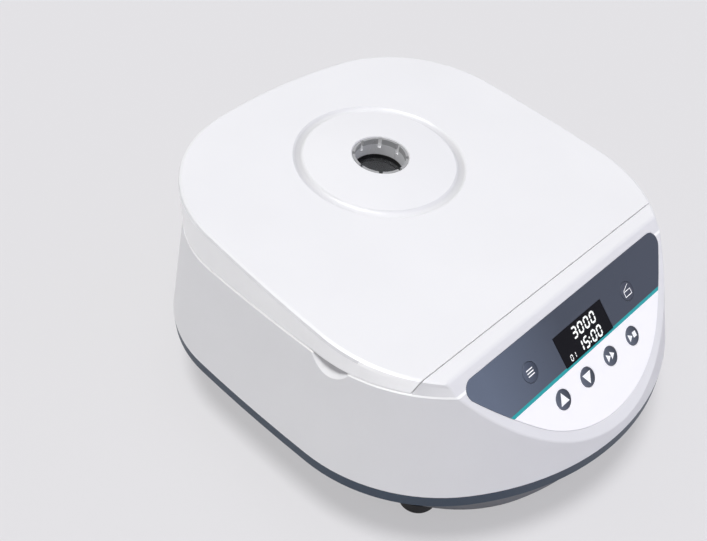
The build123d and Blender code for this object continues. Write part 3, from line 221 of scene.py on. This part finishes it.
linerGrey = moulded("liner grey", paint(206, 208, 211), 0.5, 1.6)
blackPlastic = moulded("black plastic", paint(34, 34, 36), 0.42, 1.4)
blackRubber = rubber("black rubber", paint(34, 33, 36))
sealRubber = rubber("seal rubber", paint(58, 58, 61))
stainless = turned("chamber steel", paint(200, 200, 203), 0.26)
rotorMetal = turned("rotor aluminium", paint(196, 198, 203), 0.34)
groundSteel = turned("ground steel", paint(214, 214, 216), 0.16)
zincSteel = brushed("zinc plate", paint(186, 189, 192), 0.34, (1, 0.08, 1))
pinSteel = brushed("pin steel", paint(205, 205, 207), 0.22, (0.06, 1, 1))
motorPaint = moulded("motor paint", paint(44, 45, 48), 0.38, 1.5)
sleeveBlue = moulded("capacitor sleeve", paint(38, 46, 78), 0.3, 0.6)

# Housing: its rim is rounded along the parting, with a painted highlight that makes it pale where it catches the light
parting = {"slope": radians(1.9), "place": (0, case["axisY"], 124.5 * mm), "round": 1.25 * mm, "over": 0.1 * mm}
housingWhite = moulded("housing white", white, 0.36)
rise = housingWhite.along(upFrom(parting["slope"]), parting["place"])
fall = housingWhite.ramp(rise, -parting["round"], 0.0, 1.0, 0.0)
housingWhite.bump(fall, parting["round"], under=housingWhite.fed("Normal"))
# painted highlight: a band along the rim's top takes a paler white than the housing
paintedRimHighlight = (rise > -parting["round"]) * (1.0 - (rise > parting["over"]))
housingWhite.set("Base Color", housingWhite.blend(paintedRimHighlight, housingWhite.fed("Base Color"), paintedHighlightWhite))

# Lid: a painted shade on two sides of the ring groove, and a painted highlight and painted glow on the steep sides,
# which keeps the parting line pale
ring = {"middle": 56.5 * mm, "half": 3.4 * mm, "core": 1.7 * mm, "paintedShade": 0.74, "turn": radians(-44.6)}
skirtPaintedLight = {"steep": 0.35, "glow": 0.1}
lidWhite = moulded("lid white", white, 0.36)
reach = lidWhite.vector("LENGTH", {0: lidWhite.away(topCentre)}, "Value")
sideways = lidWhite.along((cos(ring["turn"]), sin(ring["turn"]), 0), topCentre) / reach
groove = lidWhite.ramp(abs(reach - ring["middle"]), ring["core"], ring["half"], 1.0, 0.0)
# painted shade: the groove is dimmed most on its two sides across the view
topWithPaintedShade = lidWhite.blend(groove * sideways * sideways, lidWhite.fed("Base Color"), shade(white, ring["paintedShade"]))
normal = lidWhite.node("ShaderNodeNewGeometry", {}, {}, "Normal")
onTop = lidWhite.node("ShaderNodeSeparateXYZ", {}, {0: normal}, "Z") > skirtPaintedLight["steep"]
# painted highlight and painted glow: the steep sides take a paler white and glow a little
lidWhite.set("Base Color", lidWhite.blend(onTop, paintedHighlightWhite, topWithPaintedShade))
lidWhite.set("Emission Color", lidWhite.blend(onTop, grey(skirtPaintedLight["glow"]), black))
lidWhite.set("Emission Strength", 1.0)

# Base: a satin slate band above a paler textured tub
base = {"bandFoot": 43.2 * mm, "band": paint(66, 80, 97), "tub": paint(132, 134, 139), "cloudScale": 18, "dirt": 0.12,
        "grainScale": 1100, "grainDepth": 0.00004, "grainShine": 0.2, "roughness": 0.56, "bandShine": 0.1}
baseSlate = Finish("base slate", Specular_IOR_Level=0.25)
onBand = baseSlate.along((0, 0, 1)) > base["bandFoot"]
cloud = baseSlate.noise(base["cloudScale"], 3)
grains = baseSlate.noise(base["grainScale"], 3)
tint = baseSlate.blend(onBand, base["tub"], base["band"])
baseSlate.set("Base Color", baseSlate.blend(cloud * base["dirt"], tint, black))
baseSlate.set("Roughness", base["roughness"] - onBand * base["bandShine"] + (grains - 0.5) * base["grainShine"])
baseSlate.bump(grains, base["grainDepth"], 0.5)

# Laminations: thin stacked sheets that show as fine level lines
sheets = {"scale": 320.0, "waver": 0.4, "dark": paint(70, 66, 62), "pale": paint(122, 118, 112), "depth": 0.0001,
          "roughness": 0.45, "shine": 0.2}
lamination = Finish("laminations", Metallic=0.7)
stack = lamination.node("ShaderNodeTexWave", {"bands_direction": "Z"}, {
    "Vector": lamination.place, "Scale": sheets["scale"], "Distortion": sheets["waver"]})
lamination.set("Base Color", lamination.blend(stack, sheets["dark"], sheets["pale"]))
lamination.set("Roughness", sheets["roughness"] + stack * sheets["shine"])
lamination.bump(stack, sheets["depth"], 0.6)

# Circuit board: green lacquer over copper tracks
tracks = {"scale": 90.0, "width": 0.06, "first": paint(24, 92, 58), "second": paint(20, 84, 52),
          "track": paint(60, 132, 84), "roughness": 0.42, "speckScale": 300, "speckShine": 0.2, "speckDepth": 0.00003}
board = Finish("circuit board", Coat_Weight=0.4, Coat_Roughness=0.15)
board.set("Base Color", board.node("ShaderNodeTexBrick", {"offset": 0.5}, {
    "Vector": board.place, "Scale": tracks["scale"], "Mortar Size": tracks["width"], "Color1": tracks["first"],
    "Color2": tracks["second"], "Mortar": tracks["track"]}))
speck = board.noise(tracks["speckScale"], 2)
board.set("Roughness", tracks["roughness"] + (speck - 0.5) * tracks["speckShine"])
board.bump(speck, tracks["speckDepth"], 0.4)

# Panel places: distances across and down the sloping panel
panel = {"slope": radians(48.7), "edgeY": -108.3 * mm}
panelEdge = Vector((0, panel["edgeY"], case["top"] + (panel["edgeY"] - case["axisY"]) * tan(case["slope"])))
panelDown = Vector((0, -cos(panel["slope"]), -sin(panel["slope"])))
panelOut = Vector(upFrom(panel["slope"]))
panelTurn = Matrix(((1, 0, 0), -panelDown, panelOut)).transposed().to_4x4()


def onPanel(across, down, out):                   # millimetres across, down the slope and off the surface
    place = panelEdge + Vector((across, 0, 0)) * mm + panelDown * down * mm + panelOut * out * mm
    return Matrix.Translation(place) @ panelTurn


# Label film: slate above a teal line, white below, glossy; the slate takes a painted light, paler to the left, and the
# white a painted glow
label = {"lineTop": 39.6 * mm, "lineFoot": 41.7 * mm, "fadeFrom": -84 * mm, "fadeTo": -14 * mm,
         "slateLeft": paint(102, 113, 130), "slateRight": paint(70, 77, 87), "teal": paint(36, 170, 172),
         "white": paint(253, 252, 255), "lift": 0.1, "roughness": 0.3, "filmScale": 700, "filmShine": 0.1,
         "filmDepth": 0.000008}
labelFilm = Finish("label film", Coat_Weight=0.35, Coat_Roughness=0.08, Emission_Strength=1.0)
down = labelFilm.along(panelDown, panelEdge)
# painted light: the slate is paler at the left and darker to the right
paintedLightFade = labelFilm.ramp(labelFilm.along((1, 0, 0)), label["fadeFrom"], label["fadeTo"])
slate = labelFilm.blend(paintedLightFade, label["slateLeft"], label["slateRight"])
upper = labelFilm.blend(down > label["lineTop"], slate, label["teal"])
onWhite = down > label["lineFoot"]
film = labelFilm.noise(label["filmScale"], 2)
labelFilm.set("Base Color", labelFilm.blend(onWhite, upper, label["white"]))
# painted glow: the white part of the film glows a little
labelFilm.set("Emission Color", labelFilm.blend(onWhite, black, grey(label["lift"])))
labelFilm.set("Roughness", label["roughness"] + (film - 0.5) * label["filmShine"])
labelFilm.bump(film, label["filmDepth"], 0.5)

# Keys: each cap darkens from its left rim to its right one, a painted shade between lit and shaded tints of its colour
keyPlaces = {"set": (-52.1, 26.4), "lid_release": (50.2, 27.7), "up": (-38.8, 52.9), "down": (-13.6, 52.9),
             "pulse": (11.5, 52.9), "start_stop": (36.7, 52.9)}
keyLitAndShadedTints = {"set": (paint(92, 101, 118), paint(58, 66, 80)), "lid_release": (paint(78, 83, 96), paint(70, 74, 87))}
lowerLitAndShadedTint = (paint(102, 109, 123), paint(62, 67, 76))
cap = {"left": -6.2 * mm, "right": 5.6 * mm, "cloudScale": 112, "cloud": 0.1}
keyFinishes = {}
for key, keyPlace in keyPlaces.items():
    litTint, shadedTint = keyLitAndShadedTints.get(key, lowerLitAndShadedTint)
    made = moulded("key " + key, shadedTint, 0.4, 0.7)
    turn = made.ramp(made.along((1, 0, 0), (keyPlace[0] * mm, 0, 0)), cap["left"], cap["right"])
    cloud = made.noise(cap["cloudScale"], 3)
    # painted shade across the cap, from the lit tint at the left to the shaded tint at the right
    made.set("Base Color", made.blend(turn + (cloud - 0.5) * cap["cloud"], litTint, shadedTint))
    keyFinishes["key_" + key] = made

# Display glass: near black, with a faint smear
glass = {"smearScale": 120, "dark": paint(18, 18, 19), "pale": paint(24, 24, 25), "roughness": 0.16, "shine": 0.08}
displayGlass = Finish("display glass", Specular_IOR_Level=0.16)
smear = displayGlass.noise(glass["smearScale"], 3)
displayGlass.set("Base Color", displayGlass.blend(smear, glass["dark"], glass["pale"]))
displayGlass.set("Roughness", glass["roughness"] + smear * glass["shine"])

# Port tube: a grey ring, pale clips under it with a painted glow for light carried down from the rim, and dark below
# them
port = {"rim": -1.4 * mm, "clipFoot": -10.2 * mm, "ring": paint(150, 151, 153), "below": paint(52, 52, 54),
        "clips": (paint(214, 215, 217), paint(232, 233, 235)), "glow": (0.1, 0.1, 0.102, 1), "streakScale": 90,
        "squeeze": (1, 1, 0.15), "roughness": 0.22, "shine": 0.14}
smoked = Finish("smoked plastic", Transmission_Weight=0.12, IOR=1.49, Emission_Strength=1.0)
streak = smoked.noise(port["streakScale"], 3, squeeze=port["squeeze"])
depth = smoked.along(upFrom(case["slope"]), topCentre)
onClips = depth > port["clipFoot"]
tube = smoked.blend(onClips, port["below"], smoked.blend(streak, *port["clips"]))
smoked.set("Base Color", smoked.blend(depth > port["rim"], tube, port["ring"]))
# painted glow on the clips
smoked.set("Emission Color", smoked.blend(onClips, black, port["glow"]))
smoked.set("Roughness", port["roughness"] + streak * port["shine"])

pane = {"hazeScale": 60, "dark": paint(150, 152, 155), "pale": paint(185, 187, 190), "roughness": 0.04, "shine": 0.05}
clearPane = Finish("clear pane", Transmission_Weight=0.92, IOR=1.49)
haze = clearPane.noise(pane["hazeScale"], 3)
clearPane.set("Base Color", clearPane.blend(haze, pane["dark"], pane["pale"]))
clearPane.set("Roughness", pane["roughness"] + haze * pane["shine"])

slotFinishes = {
    "slate_plastic": baseSlate, "liner_plastic": linerGrey, "label_film": labelFilm, "display_glass": displayGlass,
    "clear_plastic": smoked, "black_rubber": blackRubber, "seal_rubber": sealRubber, "stainless": stainless,
    "zinc_steel": zincSteel, "shaft_steel": groundSteel, "rotor_aluminium": rotorMetal, "motor_metal": motorPaint,
    "laminations": lamination, "circuit_board": board, "black_plastic": blackPlastic, "capacitor_sleeve": sleeveBlue,
}
nodeFinishes = {
    **keyFinishes, "upper_housing": housingWhite, "lid_shell": lidWhite, "port_window": clearPane,
    "hinge_pin_left": pinSteel, "hinge_pin_right": pinSteel, "latch_bolt": pinSteel, "inlet_pins": pinSteel,
    "lid_hook": zincSteel,
}
for part in frame["record"]["subparts"]:
    chosen = nodeFinishes.get(part["node"]) or slotFinishes[part["material_slot"]]
    materials = nodes[part["node"]].data.materials
    materials.clear()
    materials.append(chosen.material)
print("finishes done")


# New pieces

def shown(name, mesh, finish):
    data = bpy.data.meshes.new(name)
    mesh.to_mesh(data)
    mesh.free()
    data.materials.append(finish.material)
    made = bpy.data.objects.new(name, data)
    bpy.context.scene.collection.objects.link(made)
    return made


def piece(name, mesh, finish, body):
    made = shown(name, mesh, finish)
    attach(made, body)


def plate(mesh, corners, thickness):              # a thin flat shape, its corners in millimetres
    face = mesh.faces.new([mesh.verts.new((x * mm, y * mm, 0)) for x, y in corners])
    face.normal_update()
    if face.normal.z < 0:
        face.normal_flip()
    lifted = bmesh.ops.extrude_face_region(mesh, geom=[face])["geom"]
    top = [v for v in lifted if isinstance(v, bmesh.types.BMVert)]
    bmesh.ops.translate(mesh, verts=top, vec=(0, 0, thickness * mm))
    bmesh.ops.delete(mesh, geom=[face], context="FACES_ONLY")


# Display digits of seven segments each, in rows
digits = {"thickness": 0.03, "lift": 0.2, "slant": 0.1, "gap": 0.1, "glow": 0.55, "glowScale": 400, "roughness": 0.4,
          "shine": 0.1, "face": (paint(226, 228, 226), paint(244, 245, 243)),
          "lamp": (paint(200, 204, 202), paint(224, 226, 224))}
lit = {"0": "abcdef", "1": "bc", "3": "abcdg", "5": "acdfg"}
rows = [
    {"text": "3000", "left": -9.9, "top": 21.9, "pitch": 6.35, "width": 4.9, "tall": 7.5, "stroke": 1.2},
    {"text": "15", "left": -10.2, "top": 31.7, "pitch": 6.0, "width": 4.8, "tall": 7.5, "stroke": 1.2},
    {"text": "00", "left": 3.6, "top": 31.7, "pitch": 6.0, "width": 4.8, "tall": 7.5, "stroke": 1.2},
    {"text": "01", "left": -19.4, "top": 35.0, "pitch": 3.1, "width": 2.4, "tall": 3.9, "stroke": 0.55},
]
colon = {"tops": (33.9, 36.7), "left": 1.6, "side": 1.1, "slip": 0.1}


def digit(mesh, number, left, row):
    half, gap = row["stroke"] / 2, digits["gap"]
    across, drop = row["width"] - row["stroke"], (row["tall"] - row["stroke"]) / 2
    bars = {"a": (0, 0, True), "g": (0, -drop, True), "d": (0, -2 * drop, True), "f": (0, 0, False),
            "b": (across, 0, False), "e": (0, -drop, False), "c": (across, -drop, False)}
    for bar in lit[number]:
        x, y, level = bars[bar]
        reach = across if level else drop
        shape = [(gap, 0), (gap + half, half), (reach - gap - half, half), (reach - gap, 0),
                 (reach - gap - half, -half), (gap + half, -half)]
        corners = [(x + a, y + b) if level else (x + b, y - a) for a, b in shape]
        corners = [(left + half + a + (b + row["tall"]) * digits["slant"], b - row["top"] - half) for a, b in corners]
        plate(mesh, corners, digits["thickness"])


mesh = bmesh.new()
for row in rows:
    for index, number in enumerate(row["text"]):
        digit(mesh, number, row["left"] + index * row["pitch"], row)
for top in colon["tops"]:
    left, foot = colon["left"], top + colon["side"]
    right, slip = left + colon["side"], colon["slip"]
    plate(mesh, [(left, -top), (right, -top), (right - slip, -foot), (left - slip, -foot)], digits["thickness"])
bmesh.ops.transform(mesh, matrix=onPanel(0, 0, digits["lift"]), verts=mesh.verts[:])
litWhite = Finish("lit segment", Emission_Strength=digits["glow"])
glow = litWhite.noise(digits["glowScale"], 2)
litWhite.set("Base Color", litWhite.blend(glow, *digits["face"]))
litWhite.set("Emission Color", litWhite.blend(glow, *digits["lamp"]))
litWhite.set("Roughness", digits["roughness"] + glow * digits["shine"])
piece("display_digits", mesh, litWhite, "case")

# Plain white marks on the keys, with a painted glow
marks = {"lift": 0.35, "thickness": 0.03, "glow": 0.12, "inkScale": 900, "roughness": 0.45, "shine": 0.1,
         "face": (paint(250, 251, 252), paint(255, 255, 255))}
inkWithPaintedGlow = Finish("ink white", Emission_Color=grey(marks["glow"]), Emission_Strength=1.0)
ink = inkWithPaintedGlow.noise(marks["inkScale"], 2)
inkWithPaintedGlow.set("Base Color", inkWithPaintedGlow.blend(ink, *marks["face"]))
inkWithPaintedGlow.set("Roughness", marks["roughness"] + ink * marks["shine"])


def strip(left, low, right, high):
    return [(left, low), (right, low), (right, high), (left, high)]


keyMarks = {
    "up": [[(-3.9, -2.7), (3.9, -2.7), (0, 4.4)]],
    "down": [[(-3.9, 2.7), (3.9, 2.7), (0, -4.4)]],
    "pulse": [[(-3.8, -2.6), (-3.8, 2.6), (-0.2, 0)], [(0.2, -2.6), (0.2, 2.6), (3.8, 0)]],
    "start_stop": [[(-4.0, -2.5), (-4.0, 2.5), (-0.3, 0)], strip(0.5, -1.8, 3.9, 1.8)],
    "set": [strip(-2.8, low, 2.8, low + 0.7) for low in (-2.15, -0.35, 1.45)],
    "lid_release": [strip(-3.6, -3.2, 3.6, -2.7), strip(-3.6, -2.7, -3.1, 0.2), strip(3.1, -2.7, 3.6, 0.2),
                    strip(-3.6, 0.2, 3.6, 0.7), [(-3.5, 1.2), (-3.2, 0.9), (3.0, 3.7), (2.8, 4.1)]],
}
for key, shapes in keyMarks.items():
    mesh = bmesh.new()
    for corners in shapes:
        plate(mesh, corners, marks["thickness"])
    bmesh.ops.transform(mesh, matrix=onPanel(*keyPlaces[key], marks["lift"]), verts=mesh.verts[:])
    piece("key_mark_" + key, mesh, inkWithPaintedGlow, "key_" + key)
print("marks and digits done")

# Floor: a part of its colour is lit and takes the shadow, the rest glows, seen by the camera and in reflections
ground = {"half": 3.0, "lit": 0.38, "driftScale": 0.8, "dark": paint(215, 214, 217), "pale": paint(217, 216, 219),
          "seen": paint(216, 215, 218), "glow": paint(226, 225, 227)}
floorFinish = Finish("floor", Roughness=0.9, Emission_Strength=1.0)
rays = [floorFinish.node("ShaderNodeLightPath", {}, {}, kind)
        for kind in ("Is Camera Ray", "Is Glossy Ray", "Is Transmission Ray")]
seen = floorFinish.node("ShaderNodeMath", {"operation": "ADD", "use_clamp": True}, {0: rays[0] + rays[1], 1: rays[2]})
plain = floorFinish.blend(floorFinish.noise(ground["driftScale"], 2), ground["dark"], ground["pale"])
floorFinish.set("Base Color", floorFinish.blend(seen, plain, shade(ground["seen"], ground["lit"])))
floorFinish.set("Emission Color", floorFinish.blend(seen, black, shade(ground["glow"], 1 - ground["lit"])))
mesh = bmesh.new()
bmesh.ops.create_grid(mesh, x_segments=2, y_segments=2, size=ground["half"])
shown("floor", mesh, floorFinish)

# Light: a dim even world, a soft ceiling lamp and a weak fill
light = {"world": 0.2, "aim": Vector((0, 0, 0.08))}
world = bpy.data.worlds.new("studio")
bpy.context.scene.world = world
world.use_nodes = True
background = world.node_tree.nodes["Background"]
background.inputs["Color"].default_value = grey(1.0)
background.inputs["Strength"].default_value = light["world"]


def sun(name, place, energy, **settings):         # a lamp that looks at the middle of the case
    lamp = bpy.data.lights.new(name, "SUN")
    lamp.energy = energy
    for key, value in settings.items():
        setattr(lamp, key, value)
    made = bpy.data.objects.new(name, lamp)
    made.location = place
    made.rotation_euler = (light["aim"] - Vector(place)).to_track_quat("-Z", "Y").to_euler()
    bpy.context.scene.collection.objects.link(made)


sun("ceiling", (-0.25, -0.02, 2.0), 2.75, angle=radians(20))
sun("fill", (1.1, -1.7, 0.9), 0.34, angle=radians(70), color=(0.52, 0.5, 1.0))

# Camera: its focal length in pixels of a picture of this width
shot = {"azimuth": radians(-44.61), "elevation": radians(40.19), "place": Vector((-0.3539, -0.2876, 0.4596)),
        "focal": 833.2, "width": 707, "sensor": 36}
camera = bpy.data.cameras.new("camera")
camera.sensor_width = shot["sensor"]
camera.lens = shot["focal"] * shot["sensor"] / shot["width"]
camera.clip_start = 0.01
level = cos(shot["elevation"])
back = Vector((sin(shot["azimuth"]) * level, -cos(shot["azimuth"]) * level, sin(shot["elevation"])))
eye = bpy.data.objects.new("camera", camera)
eye.location = shot["place"]
eye.rotation_euler = (-back).to_track_quat("-Z", "Y").to_euler()
bpy.context.scene.collection.objects.link(eye)
bpy.context.scene.camera = eye
bpy.context.scene.view_settings.view_transform = "Standard"
print("light and camera done")
